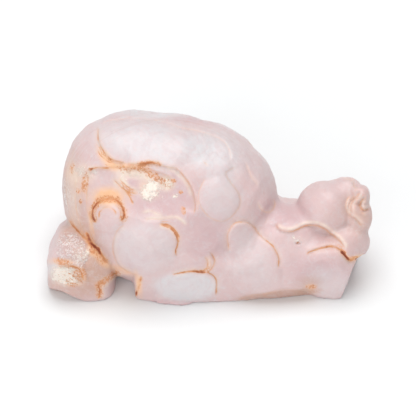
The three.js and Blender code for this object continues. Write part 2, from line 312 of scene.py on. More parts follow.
FACE_SEAMS = (
    Seam("upper_left", ((-26.9, 42.7), (-27.0, 40.4), (-26.4, 38.2), (-24.8, 35.6), (-23.2, 34.4),
         (-20.0, 33.5)), 0.45, 0.35, 0.9, 3.0, 0.8),
    Seam("upper_rim", ((-26.4, 43.3), (-23.8, 44.2), (-19.0, 44.7), (-14.2, 44.5), (-10.0, 43.5),
         (-6.2, 42.1), (-3.4, 41.7), (1.4, 40.3), (3.9, 38.6), (5.2, 35.9), (4.9, 33.7)),
         0.12, 0.3, 0.3, 2.0, 0.14),
    Seam("rim_streak_outer", ((-32.6, 37.6), (-34.4, 33.0), (-34.9, 28.0), (-34.2, 22.5), (-32.2, 17.8),
         (-29.0, 13.4)), 0.12, 0.25, 0.12, 0.8, 0.22),
    Seam("rim_streak_middle", ((-31.9, 31.5), (-32.6, 26.0), (-32.0, 21.2), (-30.6, 17.2),
         (-28.4, 13.9)), 0.15, 0.25, 0.15, 0.8, 0.3),
    Seam("rim_foot", ((-34.6, 20.4), (-33.2, 18.3), (-31.0, 16.2), (-28.6, 14.1), (-26.9, 13.3)),
         0.3, 0.4, 0.0, 1.5, 0.9, 0.5, 0.4),
    Seam("foot_run", ((-21.8, 7.3), (-23.8, 6.3), (-25.3, 5.0), (-26.9, 3.9), (-26.7, 2.6),
         (-27.2, 0.2)), 0.2, 0.4, 0.3, 1.2, 0.95, 0.85, 1.6, 0.5, 0.9),
    Seam("foot_brow", ((-37.4, 8.7), (-36.2, 8.6), (-34.5, 8.5), (-32.8, 8.6), (-31.2, 7.6),
         (-30.6, 5.0)), 0.3, 0.3, 0.5, 1.2, 1.1, 0.4, 0.5),
    Seam("foot_facet_left", ((-28.6, 12.4), (-30.0, 10.6), (-30.2, 8.0), (-29.6, 5.4), (-28.8, 3.6)),
         0.0, 0.4, -0.5, 1.2, 0.0),
    Seam("foot_facet_low", ((-37.6, 3.8), (-33.0, 3.4), (-28.8, 3.6), (-26.2, 4.2)),
         0.0, 0.4, 0.4, 1.4, 0.0),
    Seam("upper_left_echo", ((-27.2, 37.2), (-26.0, 35.3), (-24.2, 33.9), (-21.6, 33.2)),
         0.2, 0.25, 0.2, 1.0, 0.6),
    Seam("upper_right", ((-20.0, 33.4), (-17.7, 33.3), (-15.8, 33.4), (-13.9, 33.7), (-11.6, 33.1),
         (-9.4, 32.5), (-7.9, 32.3), (-5.9, 30.2), (-4.3, 27.6), (-3.4, 24.4), (-3.3, 22.8),
         (-3.8, 21.2)), 0.35, 0.3, 1.0, 3.0, 0.5),
    Seam("upper_crumbs", ((-17.7, 33.2), (-15.8, 33.4), (-14.6, 33.7), (-13.2, 33.7), (-12.2, 33.4),
         (-10.9, 32.9)), 0.0, 0.3, 0.0, 1.0, 0.9, 0.7, 1.15, 0.4, 0.2),
    Seam("upper_inside", ((-10.6, 32.9), (-8.5, 31.8), (-7.2, 30.7), (-5.7, 29.1), (-4.7, 27.1),
         (-4.4, 25.4)), 0.1, 0.25, 0.0, 1.0, 0.0, 0.5, 0.0, 0.8, 0.0),
    Seam("lip_echo", ((-22.0, 30.4), (-20.9, 29.1), (-19.7, 28.0), (-18.4, 27.2), (-16.9, 26.9)),
         0.1, 0.25, 0.15, 1.0, 1.2, 0.4, 0.0, 0.6, 0.4),
    Seam("bulge_right_outer", ((-12.2, 19.0), (-10.1, 18.8), (-8.5, 17.7), (-7.3, 16.2), (-7.1, 14.9)),
         0.2, 0.3, -0.2, 1.0, 0.7, 0.5, 0.0, 0.9, -0.4),
    Seam("recess_run", ((-22.6, 32.0), (-21.4, 32.6), (-19.4, 31.9), (-17.6, 32.0), (-15.2, 31.6),
         (-13.6, 30.5), (-11.8, 29.9)), 0.0, 0.3, 0.0, 1.0, 0.5, 1.3, 1.0, 0.7, -0.9),
    Seam("recess_top", ((-29.3, 30.7), (-28.6, 32.1), (-27.4, 32.5), (-24.8, 32.4), (-22.2, 32.7),
         (-19.0, 32.5), (-16.4, 32.3), (-13.5, 31.8), (-11.0, 30.9), (-8.4, 29.6)),
         0.2, 0.35, 0.7, 2.5, 0.3, 0.4),
    Seam("recess_top_left", ((-29.6, 31.9), (-28.2, 32.4), (-26.0, 32.5), (-23.6, 32.3)),
         0.1, 0.3, 0.0, 1.0, 1.0, 0.5, 0.35),
    Seam("lip_upper", ((-23.3, 29.9), (-22.2, 28.9), (-20.9, 27.6), (-19.0, 26.5), (-16.8, 26.3)),
         0.25, 0.3, 0.3, 1.5, 1.35, 0.4),
    Seam("lip_lower", ((-20.6, 27.6), (-19.4, 26.0), (-18.1, 23.4)),
         0.25, 0.3, 0.3, 1.2, 1.2, 0.5, 0.3),
    Seam("knob", ((-27.1, 18.9), (-28.2, 21.1), (-27.7, 23.1), (-26.1, 24.5), (-24.1, 25.0),
         (-21.9, 24.4), (-20.6, 22.4), (-20.5, 20.5), (-21.6, 19.4)),
         0.4, 0.45, -0.6, 2.0, 1.2, 0.85, 1.15),
    Seam("knob_inner", ((-26.4, 19.9), (-26.3, 21.8), (-24.6, 23.0), (-22.8, 22.3), (-22.1, 20.9)),
         0.12, 0.22, -0.1, 0.8, 0.6),
    Seam("rim_inner", ((-29.5, 28.7), (-29.6, 25.5), (-29.5, 22.6), (-28.4, 19.0), (-27.6, 15.6)),
         0.15, 0.3, 0.15, 1.0, 0.3),
    Seam("rim_crease", ((-29.8, 17.4), (-29.2, 15.6), (-28.0, 13.6), (-26.9, 12.7), (-26.0, 11.4),
         (-24.2, 9.0)), 0.6, 0.4, -0.5, 2.0, 1.6, 0.5, 0.8),
    Seam("bulge_left", ((-19.9, 18.9), (-21.6, 17.9), (-22.7, 16.0), (-23.3, 13.5), (-23.0, 10.9),
         (-21.9, 8.6), (-19.6, 7.2), (-17.1, 6.4)), 0.2, 0.35, 0.25, 1.5, 0.4, 0.4, 0.0, 0.3),
    Seam("bulge_right", ((-12.0, 18.9), (-10.1, 18.3), (-8.4, 17.0), (-7.5, 14.7), (-8.0, 12.5),
         (-7.8, 10.9)), 0.4, 0.35, -0.6, 2.0, 0.8),
    Seam("ripple_upper", ((-16.4, 21.5), (-14.2, 21.8), (-12.6, 21.2), (-10.7, 20.7)),
         0.15, 0.3, 0.25, 1.0, 0.0, 0.5, 0.0, 0.9, 0.2),
    Seam("ripple_lower", ((-15.8, 19.9), (-13.6, 20.2), (-10.7, 20.2), (-8.1, 20.5), (-6.9, 19.9),
         (-5.2, 18.4)), 0.2, 0.3, 0.35, 1.2, 0.15, 0.5, 0.0, 0.9, 0.2),
    Seam("cut_left", ((-13.6, 0.0), (-12.6, 2.2), (-11.0, 4.2), (-9.6, 5.6), (-8.4, 6.4)),
         0.1, 0.5, -0.4, 2.0, 0.0),
    Seam("cut_top", ((-9.2, 6.6), (-7.6, 6.9), (-5.8, 7.3), (-3.7, 7.5), (-2.0, 7.2), (-0.2, 7.2)),
         0.4, 0.35, -0.5, 2.0, 1.15, 0.45, 0.25, 0.3, 0.5),
    Seam("cut_right", ((0.1, 12.5), (0.9, 11.2), (1.4, 9.9), (0.7, 8.3), (-0.2, 7.2), (1.4, 6.1),
         (1.9, 4.2), (1.7, 1.2)), 0.4, 0.35, -0.5, 2.0, 0.65),
    Seam("swelling_right", ((-1.2, 11.2), (-0.4, 10.3), (-0.4, 8.6), (-1.5, 7.5)),
         0.25, 0.3, -0.2, 1.0, 1.2, 0.5, 0.3, 0.4, 0.5),
    Seam("round_lobe", ((-0.9, 30.2), (-1.8, 28.2), (-2.5, 26.3), (-2.3, 23.8), (-0.5, 21.1),
         (1.4, 19.9), (3.9, 19.7), (6.1, 21.5), (7.5, 23.7), (7.1, 26.3), (5.2, 28.9), (4.3, 30.4),
         (4.1, 31.4), (5.2, 32.0), (6.5, 33.0)), 0.22, 0.3, 0.3, 2.0, 0.27, 0.35),
    Seam("round_top", ((-1.5, 34.4), (-0.2, 32.7)), 0.15, 0.25, 0.1, 1.0, 0.4),
    Seam("hook", ((8.8, 33.9), (9.4, 32.4), (10.4, 30.2), (12.3, 27.9)),
         0.25, 0.4, 0.4, 2.0, 0.15, 0.4, 0.0, 0.25, 0.0),
    Seam("small_lens", ((11.6, 24.4), (12.5, 22.8), (13.6, 21.8), (15.2, 22.1), (16.1, 23.7),
         (15.7, 25.3)), 0.12, 0.3, 0.15, 1.2, 0.3, 0.4, 0.0, 0.35, 0.2),
    Seam("lens_run", ((14.5, 21.7), (14.1, 20.0), (13.4, 18.4)), 0.12, 0.25, 0.1, 1.0, 0.15),
    Seam("arch", ((4.8, 12.0), (4.6, 14.1), (4.4, 16.0), (5.1, 17.9), (6.5, 19.2), (8.8, 19.4),
         (10.7, 18.3), (12.3, 16.3), (14.2, 14.7), (15.5, 13.5), (16.4, 11.9), (16.9, 10.3),
         (16.6, 8.0)), 0.35, 0.35, -0.7, 2.5, 0.7, 0.5, 0.0, 0.15),
    Seam("ledge_upper", ((16.2, 19.4), (16.7, 17.9), (18.2, 17.2), (20.3, 17.2), (22.3, 18.0),
         (24.0, 18.6), (27.0, 18.3), (29.6, 16.6), (31.9, 14.6), (33.1, 12.5)),
         0.3, 0.4, 0.85, 3.0, 0.55, 0.5, 0.0, 0.95),
    Seam("ledge_lower", ((23.3, 11.5), (24.8, 12.3), (27.4, 13.1), (29.9, 13.5), (31.9, 12.5),
         (34.1, 10.2), (36.7, 10.9), (38.0, 12.0)), 0.5, 0.4, 0.9, 3.0, 0.8, 0.7),
    Seam("corner", ((-16.4, 6.7), (-16.9, 4.5), (-17.7, 2.2), (-17.8, 0.8)),
         0.25, 0.4, 0.3, 1.2, 1.5, 0.6, 0.7),
    Seam("chin_corner", ((31.6, 12.7), (32.6, 11.7), (34.1, 10.3), (35.3, 10.6), (36.8, 10.9)),
         0.8, 0.4, 0.0, 1.0, 3.0, 0.4, 0.9),
    Seam("curl_outer", ((34.4, 26.0), (33.6, 24.7), (33.3, 23.2), (33.6, 21.9), (34.4, 20.9),
         (35.4, 20.3), (36.2, 19.6), (36.9, 18.7), (37.6, 18.0)),
         0.55, 0.35, 0.8, 1.2, 0.42, 0.3, 0.0, 0.5, 0.6),
    Seam("curl_middle", ((37.0, 27.0), (35.9, 25.5), (34.9, 24.5), (34.4, 23.5), (34.4, 22.4),
         (35.0, 21.1)), 0.9, 0.35, 1.0, 1.1, 0.5, 0.3, 0.0, 0.5, 0.6),
    Seam("curl_inner", ((38.4, 25.4), (37.6, 24.9), (36.9, 24.0), (36.9, 23.0), (37.6, 22.2),
         (38.5, 22.5), (39.6, 22.8)), 1.0, 0.4, 0.9, 0.9, 0.55, 0.3, 0.0, 0.5, 0.6),
    Seam("curl_fold", ((36.4, 22.0), (37.0, 21.2), (38.0, 20.9), (39.0, 21.3)),
         0.2, 0.35, 0.6, 0.9, 0.15),
    Seam("curl_brow", ((32.6, 30.3), (34.1, 29.9), (35.3, 29.2), (35.5, 27.9), (36.9, 27.9)),
         0.4, 0.35, -0.5, 1.2, 0.35),
    Seam("under_edge", ((6.9, 0.2), (8.4, 0.8), (10.9, 1.6), (13.2, 1.8), (15.2, 2.2), (18.5, 2.9),
         (22.7, 2.6), (24.6, 2.0), (26.9, 1.1)), 0.1, 0.3, 0.5, 1.2, 0.2),
    Seam("chunk_edge", ((27.0, 10.4), (29.8, 8.6), (32.5, 7.1)), 0.0, 0.4, 0.5, 2.5, 0.0),
)

FACE_PATCHES = patches({
    Tone.MILK: (
        # partly milky chalcedony, partly a painted sheen: the broad upper face is whitened where the
        # soft light reflects
        ((-14.0, 39.0), (13.5, 5.6), -8, 0.85, 0.45),
        ((2.0, 36.0), (6.5, 5.5), -35, 0.8, 0.5),
        ((2.6, 25.4), (4.8, 5.4), 0, 0.55, 0.4),
        ((-15.8, 13.6), (7.6, 6.2), 0, 0.55, 0.4),
        ((-5.6, 3.6), (7.6, 3.6), 0, 1.15, 0.3),
        ((9.5, 10.5), (5.0, 9.0), 25, 0.35, 0.5),
        ((30.0, 4.5), (5.5, 3.6), -20, 0.45, 0.5),
        ((-35.5, 8.0), (4.5, 2.4), 0, 0.9, 0.4),
        ((12.6, 34.0), (2.6, 6.0), 30, 0.35, 0.8),
    ),
    Tone.BLUSH: (
        # partly the stone's deeper pink, partly painted shade: the top rim is darkened where the surface
        # turns away from the light
        ((-13.0, 45.0), (17.0, 1.6), 0, 0.7, 0.6),
        ((12.0, 30.0), (4.0, 12.0), 20, 0.2, 0.6),
        ((-10.0, 24.5), (8.5, 5.5), -12, 0.75, 0.5),
        ((0.0, 15.0), (6.0, 5.0), 0, 0.8, 0.6),
        ((19.0, 21.0), (6.0, 4.5), 0, 0.8, 0.6),
        ((-19.0, 8.3), (5.5, 2.0), 30, 0.5, 0.6),
        ((24.0, 8.0), (5.5, 3.5), 0, 0.6, 0.6),
        ((29.5, 15.0), (6.0, 3.0), -30, 0.5, 0.6),
        # painted shade: the strip below the cut face's front edge, where its underside faces the table,
        # is darkened with deeper pink
        ((-9.0, -0.6), (6.0, 0.9), 0, 1.6, 0.4),
        ((31.0, 7.6), (3.6, 2.2), -35, 0.6, 0.6),
        # partly deeper pink, partly painted shade on the downward-facing band along the right side's
        # lower edge
        ((15.0, 1.1), (4.0, 0.9), 8, 0.9, 0.4),
        ((-18.1, 28.6), (2.0, 1.3), -10, 0.8, 0.4),
    ),
    Tone.TAN: (
        ((-34.0, 26.0), (4.0, 14.0), 8, 0.55, 0.6),
        ((-31.5, 15.0), (4.5, 5.0), 30, 0.8, 0.6),
        ((-27.4, 8.6), (3.6, 5.0), 0, 1.0, 0.4),
        ((-33.0, 3.5), (7.5, 3.0), 0, 0.7, 0.5),
        ((37.5, 22.0), (4.0, 5.5), 0, 0.4, 0.6),
        ((33.5, 18.0), (5.5, 7.0), 0, 0.3, 0.7),
        # partly a tan stain, partly painted shade: the band along the right side's lower edge faces down
        # and is darkened
        ((17.0, 1.4), (10.0, 1.1), 6, 1.0, 0.3),
        ((24.5, 4.2), (3.2, 2.0), 0, 0.5, 0.6),
    ),
    Tone.CRUST: (
        ((-14.2, 26.5), (2.4, 2.0), -20, 1.05, 0.7),
        ((-10.4, 28.8), (1.9, 1.4), -25, 0.8, 0.6),
        ((-18.4, 31.0), (3.4, 0.9), -8, 0.5, 0.6),
        ((-8.0, 25.8), (0.9, 0.6), 0, 0.7, 0.6),
        ((-35.6, 7.2), (2.9, 1.9), -12, 1.0, 0.6),
        ((-33.6, 4.9), (2.6, 0.9), -14, 0.8, 0.6),
        ((-35.6, 5.4), (2.8, 1.5), 0, 0.6, 0.6),
        ((-29.6, 11.6), (0.5, 2.2), -24, 0.6, 0.6),
        ((-31.6, 12.0), (1.6, 2.2), -30, 0.4, 0.6),
        ((-29.6, 31.6), (3.0, 1.5), 0, 0.3, 0.6),
        ((-13.6, 28.6), (1.3, 1.4), 10, 0.7, 0.5),
        ((-20.6, 29.6), (1.2, 1.5), -30, 0.3, 0.6),
        ((21.0, 14.6), (2.4, 1.8), 0, 0.3, 0.6),
    ),
    Tone.CREAM: (
        ((-14.8, 27.4), (2.8, 2.4), -20, 0.6, 0.6),
        ((-10.4, 28.7), (2.0, 1.7), -25, 0.9, 0.6),
        ((-17.8, 30.9), (4.4, 1.1), -8, 0.9, 0.6),
        ((-21.4, 29.2), (1.6, 1.8), -30, 0.8, 0.6),
        ((-35.0, 6.4), (3.6, 2.4), -8, 0.8, 0.5),
        ((-23.0, 6.2), (2.0, 0.8), 20, 0.8, 0.5),
        ((-30.6, 31.0), (3.2, 2.2), 0, 0.7, 0.7),
        ((-33.2, 26.0), (1.6, 7.0), 4, 0.5, 0.7),
    ),
    Tone.GLOW: (
        ((-10.4, 28.9), (1.8, 1.5), -25, 0.5, 0.6),
        ((-15.6, 27.6), (1.2, 1.8), 0, 0.35, 0.6),
        ((-31.0, 29.4), (2.6, 3.4), 0, 0.25, 0.7),
        ((-33.8, 32.0), (1.4, 2.4), 15, 0.22, 0.7),
        ((-24.4, 25.6), (3.3, 1.9), 0, 1.3, 0.8),
        ((-24.6, 34.4), (1.1, 3.2), 38, 0.7, 0.7),
        ((-20.0, 32.6), (4.0, 1.0), 0, 0.7, 0.6),
        ((-28.6, 19.0), (0.5, 5.0), 6, 0.4, 0.8),
        ((-28.2, 13.4), (0.6, 4.0), 38, 0.35, 0.8),
        ((-22.0, 7.8), (3.6, 0.9), -20, 0.6, 0.6),
        ((-17.2, 4.2), (0.7, 3.2), 10, 0.6, 0.6),
        ((-35.6, 9.8), (3.6, 0.7), 0, 0.4, 0.7),
        ((25.0, 3.6), (1.4, 0.8), 0, 0.4, 0.6),
        ((35.8, 10.6), (1.6, 0.7), 10, 0.5, 0.6),
        ((-28.1, 12.6), (1.2, 1.5), 40, 1.0, 0.5),
        ((-26.2, 10.2), (0.9, 2.0), 40, 0.6, 0.6),
    ),
    Tone.DRUSE: (
        ((-33.4, 12.4), (3.6, 4.6), 30, 1.0, 0.4),
        ((-30.0, 31.4), (3.0, 1.6), 0, 0.7, 0.5),
        ((-34.8, 26.0), (1.4, 6.0), 5, 0.45, 0.6),
        ((-34.5, 6.4), (4.6, 2.8), -8, 0.5, 0.5),
    ),
    Tone.RUST: (
        ((-24.4, 25.0), (2.8, 0.8), 0, 0.9, 0.6),
        ((-27.4, 23.6), (0.7, 1.0), -40, 1.1, 0.5),
        ((-10.2, 28.7), (1.8, 1.3), -25, 0.85, 0.6),
        ((-12.2, 29.8), (1.4, 0.8), -30, 0.9, 0.6),
        ((-8.4, 29.4), (0.6, 0.35), -10, 1.8, 0.5),
        ((-28.2, 12.8), (0.9, 0.9), 0, 0.9, 0.5),
        ((-27.9, 12.2), (0.9, 1.4), 35, 0.75, 0.6),
        ((-26.2, 10.0), (0.8, 1.8), 38, 0.7, 0.6),
        ((-31.0, 6.2), (1.2, 1.6), 20, 0.8, 0.8),
        ((-33.2, 4.2), (1.6, 0.6), 0, 0.8, 0.6),
        ((21.5, 14.3), (0.3, 0.25), 0, 3.0, 0.4),
        ((-33.4, 32.2), (0.8, 1.6), 0, 1.0, 0.6),
        ((-6.2, 22.2), (0.5, 0.9), 15, 2.6, 0.5),
        ((-6.8, 26.6), (0.4, 0.4), 0, 3.0, 0.5),
        ((-30.0, 29.2), (1.0, 2.6), -8, 1.1, 0.5),
        ((-31.8, 26.8), (0.7, 0.7), 0, 1.0, 0.5),
        ((-31.1, 24.4), (0.5, 0.8), 0, 1.0, 0.5),
        ((-35.4, 9.7), (2.6, 1.0), -10, 1.1, 0.6),
        ((-31.6, 7.2), (1.6, 1.6), -30, 0.8, 0.6),
        ((-35.4, 6.2), (2.4, 1.6), 0, 0.45, 0.6),
        ((-22.6, 6.6), (1.0, 0.7), 20, 1.4, 0.5),
        ((-33.2, 5.4), (2.6, 2.2), 0, 0.35, 0.6),
        ((25.0, 3.6), (1.4, 0.6), -5, 1.2, 0.6),
        ((-2.0, 7.8), (2.5, 0.6), 0, 0.6, 0.5),
        ((35.2, 10.5), (1.6, 0.5), 5, 1.5, 0.5),
    ),
})

# The back's swellings and seams are of the display face's kind. Here u runs to the right and v up as
# seen from behind.
BACK_SWELLINGS = (
    Swelling("back_broad", (14.0, 33.0), (13.0, 9.0), 10, 0.9, 1.0),
    Swelling("back_round", (-4.0, 28.0), (7.0, 6.5), 0, 0.9, 0.8),
    Swelling("back_low", (9.0, 15.0), (8.0, 5.5), -15, 1.0, 0.9),
    Swelling("back_small", (-14.0, 17.0), (5.0, 4.2), 0, 0.8, 0.8),
    Swelling("back_left", (26.0, 19.0), (5.0, 7.0), 0, 0.9, 0.9),
    Swelling("back_dip", (0.0, 19.5), (6.0, 3.2), 10, -0.8, 1.0),
)

BACK_SEAMS = (
    Seam("back_fold", ((25.0, 27.0), (20.0, 24.5), (14.0, 24.0), (8.0, 25.0), (3.0, 23.5),
         (-2.0, 21.0)), 0.45, 0.4, 0.9, 3.0, 0.7),
    Seam("back_ring", ((-9.5, 31.0), (-11.2, 27.5), (-9.5, 23.5), (-5.0, 21.6), (0.0, 22.6)),
         0.35, 0.35, 0.5, 2.0, 0.45),
    Seam("back_arch", ((1.0, 9.0), (2.0, 14.5), (6.0, 19.2), (11.0, 19.5), (15.5, 16.5), (17.5, 10.5)),
         0.4, 0.35, -0.6, 2.0, 0.6),
    Seam("back_low_lip", ((-20.0, 12.0), (-17.0, 13.0), (-12.0, 12.2), (-8.0, 13.8)),
         0.35, 0.35, 0.5, 2.0, 0.8),
    Seam("back_side", ((21.0, 10.0), (21.5, 16.0), (24.0, 22.5), (29.0, 25.0)),
         0.35, 0.35, -0.5, 2.0, 0.6),
)

BACK_PATCHES = patches({
    Tone.MILK: (
        ((14.0, 33.5), (11.0, 6.5), 10, 0.9, 0.5),
        ((-4.0, 28.5), (5.5, 5.0), 0, 0.6, 0.5),
        ((9.0, 14.5), (6.5, 4.4), -15, 0.7, 0.5),
    ),
    Tone.BLUSH: (
        ((4.0, 38.0), (16.0, 4.0), 0, 0.6, 0.6),
        ((-8.0, 17.0), (9.0, 6.0), 0, 0.6, 0.6),
        ((24.0, 14.0), (6.0, 8.0), 0, 0.5, 0.6),
    ),
    Tone.RUST: (
        ((12.0, 24.3), (7.0, 1.2), 0, 0.5, 0.6),
        ((-14.0, 12.4), (5.0, 1.2), 0, 0.6, 0.6),
        ((22.0, 17.0), (1.4, 5.0), 0, 0.5, 0.6),
    ),
    Tone.CRUST: (
        ((1.0, 20.0), (4.0, 1.8), 10, 0.8, 0.5),
        ((18.5, 22.0), (3.0, 1.2), 0, 0.5, 0.5),
    ),
    Tone.TAN: (
        ((10.0, 5.0), (24.0, 4.0), 0, 0.6, 0.6),
    ),
})


@dataclass
class FaceMap:
    """Relief, seams and tones of one face, worked out on a grid of (u, v).

    The signed distance to the nearest seam keeps a stained line crisp between mesh points.
    """

    swellings: tuple[Swelling, ...]
    seams: tuple[Seam, ...]
    patches: tuple[Patch, ...]
    low: Spot = (-44.0, -6.0)
    high: Spot = (44.0, 54.0)
    spacing: float = 0.2
    seam_end: float = 1.2       # how far from its ends a seam is full
    cream_half: float = 0.42    # half width of the pale line beside a seam
    line_reach: float = 1.1     # how far from a seam its stained line may stray
    same_line: float = 0.3      # seams this near are one line, and the darker one shows
    seam_glow: float = 0.38     # the share of a seam's stain that glows beside it
    layers: dict[str, np.ndarray] = a_field(default_factory=dict)

    def work_out(self) -> None:
        """Fills the layers: relief, the seams' signed distance and strength, and each tone."""
        u, v = np.meshgrid(np.arange(self.low[0], self.high[0], self.spacing),
                           np.arange(self.low[1], self.high[1], self.spacing), indexing="ij")
        relief = sum((s.raise_on(u, v) for s in self.swellings), np.zeros(u.shape))
        tones = {tone: np.zeros(u.shape) for tone in Tone}
        for patch in self.patches:
            tones[patch.tone] += patch.paint(u, v)
        nearest, line, strength = np.full(u.shape, FAR), np.full(u.shape, 9.0), np.zeros(u.shape)
        for seam in self.seams:
            far, end = seam.nearest(u, v)
            ends = smooth(end, 0.0, self.seam_end)
            ledge = np.tanh(far / (0.6 * seam.half)) * np.exp(-np.abs(far) / seam.fade)
            relief += 0.5 * seam.step * ledge * ends
            relief -= 0.55 * seam.deep * np.exp(-(far / seam.half) ** 2) * ends
            beside = np.exp(-((far - seam.cream_at) / self.cream_half) ** 2)
            stained = np.exp(-(far / seam.bleed) ** 2)
            tones[Tone.CREAM] += seam.cream * beside * ends
            tones[Tone.RUST] += seam.crumbs * stained * ends
            tones[Tone.GLOW] += self.seam_glow * seam.stain * stained * ends
            if seam.stain > 0:
                closer = np.abs(far) < nearest
                level = np.abs(np.abs(far) - nearest) < self.same_line
                own = seam.stain * ends * np.exp(-(far / self.line_reach) ** 2)
                strength = np.where(level, np.maximum(own, strength), np.where(closer, own, strength))
                nearest = np.where(closer, np.abs(far), nearest)
                line = np.where(closer, far, line)
        self.layers = {"relief": relief, "line": np.clip(line, -3, 3), "strength": strength,
                       **{tone.value: tones[tone] for tone in Tone}}

    def read(self, layer: str, u: np.ndarray, v: np.ndarray) -> np.ndarray:
        """Reads a layer between the grid's points, by the weights of the four around a place.

        Args:
            layer: the layer's name.
            u, v: places on the face.

        Returns:
            The layer's value at each place.
        """
        table = self.layers[layer]
        x = np.clip((u - self.low[0]) / self.spacing, 0, table.shape[0] - 1.001)
        y = np.clip((v - self.low[1]) / self.spacing, 0, table.shape[1] - 1.001)
        i, j = x.astype(np.int32), y.astype(np.int32)
        fx, fy = x - i, y - j
        return ((table[i, j] * (1 - fx) + table[i + 1, j] * fx) * (1 - fy)
                + (table[i, j + 1] * (1 - fx) + table[i + 1, j + 1] * fx) * fy)


LOBES = (
    Lobe("dome", (-10.5, 24.6, -5.0), (25.4, 21.0, 19.0), 2.08, 0.0),
    Lobe("shoulder", (-20.8, 31.2, -5.0), (15.0, 14.9, 16.0), 2.1, 2.5),
    Lobe("crest", (1.6, 24.6, -5.0), (14.5, 15.3, 16.0), 2.1, 4.5, lean=-30.0),
    Lobe("skirt", stand(-2.4, 13.6, 4.0), (16.0, 10.0, 14.0), 6.0, 2.0, upright=True),
    Lobe("apron", stand(18.0, 15.0, 2.0), (16.5, 9.5, 13.6), 3.6, 3.0, upright=True),
    Lobe("heel", stand(-13.4, 6.6, 3.2), (5.1, 5.6, 6.4), 7.0, 1.0, upright=True),
    Lobe("sole", stand(-8.6, 1.6, -0.5), (5.4, 1.5, 3.2), 3.0, 0.3, upright=True),
    Lobe("neck", (18.0, 12.2, -6.5), (14.0, 11.8, 14.0), 2.3, 2.6),
    Lobe("snout", (29.0, 22.2, -1.5), (7.6, 7.2, 8.5), 2.0, 1.6),
    Lobe("brow", (33.6, 24.7, -2.0), (4.6, 6.0, 6.0), 2.2, 2.4),
    Lobe("petal_low", (36.3, 21.0, 0.8), (3.7, 4.6, 4.8), 2.3, 0.7, lean=12.0),
    Lobe("petal_top", (36.6, 25.8, 1.0), (2.7, 2.6, 4.6), 2.6, 0.5),
    Lobe("chin", (33.8, 14.6, 0.0), (5.5, 4.6, 6.0), 2.2, 1.0),
    Lobe("chunk", stand(28.4, 12.6, 5.0), (9.0, 10.2, 12.0), 5.0, 1.0, upright=True, facets=(
        Facet((34.8, 6.5, 0.0), (0.91, -0.4, 0.06)),
        Facet((29.0, 8.0, 7.6), (0.12, -0.2, 0.97)),
        Facet((32.0, 4.0, 4.6), (0.45, -0.35, 0.82)),
    )),
    Lobe("foot", stand(-31.3, 9.6, 4.5), (8.4, 10.2, 9.9), 4.0, 0.8, upright=True, facets=(
        Facet((-36.6, 2.2, 0.0), (-0.36, -0.93, 0.05)),
        Facet((-36.0, 17.6, 0.0), (-0.5, 0.83, 0.2)),
        Facet((-38.0, 14.4, 0.0), (-0.87, 0.42, 0.15)),
        Facet((-34.0, 12.0, 7.4), (-0.34, 0.25, 0.9)),
        Facet((-26.0, 9.0, 6.6), (0.42, 0.05, 0.9)),
        Facet((-23.4, 4.0, 0.0), (0.99, -0.05, 0.1)),
    )),
    Lobe("back", stand(-8.5, 27.0, 8.0), (23.0, 14.0, 17.5), 2.4, 4.0, upright=True),
    Lobe("back_right", stand(17.0, 21.0, 4.0), (14.0, 6.6, 9.5), 2.4, 3.0, upright=True),
    Lobe("back_lump", stand(-16.0, 36.0, 15.0), (11.0, 10.0, 8.5), 2.0, 1.2, upright=True),
    Lobe("back_knee", stand(4.0, 38.0, 7.0), (9.0, 8.0, 7.0), 2.0, 1.0, upright=True),
    Lobe("end_lump", stand(-27.0, 27.0, 7.0), (8.0, 9.0, 10.0), 2.2, 0.8, upright=True),
)

DOME_AT = (-10.5, 24.6)
DOME_HALF = (25.4, 21.0)

UNDER_EDGE = Facet((19.6, 2.8, 2.9), (0.087, -0.9, 0.43))
UNDER_EDGE_FULL = (12.0, 24.0)  # between these the under edge is broken away to its full depth
UNDER_EDGE_RAMP = 0.35  # how fast the break runs out to either side
UNDER_EDGE_ROUND = 0.5  # rounding of the break's edge


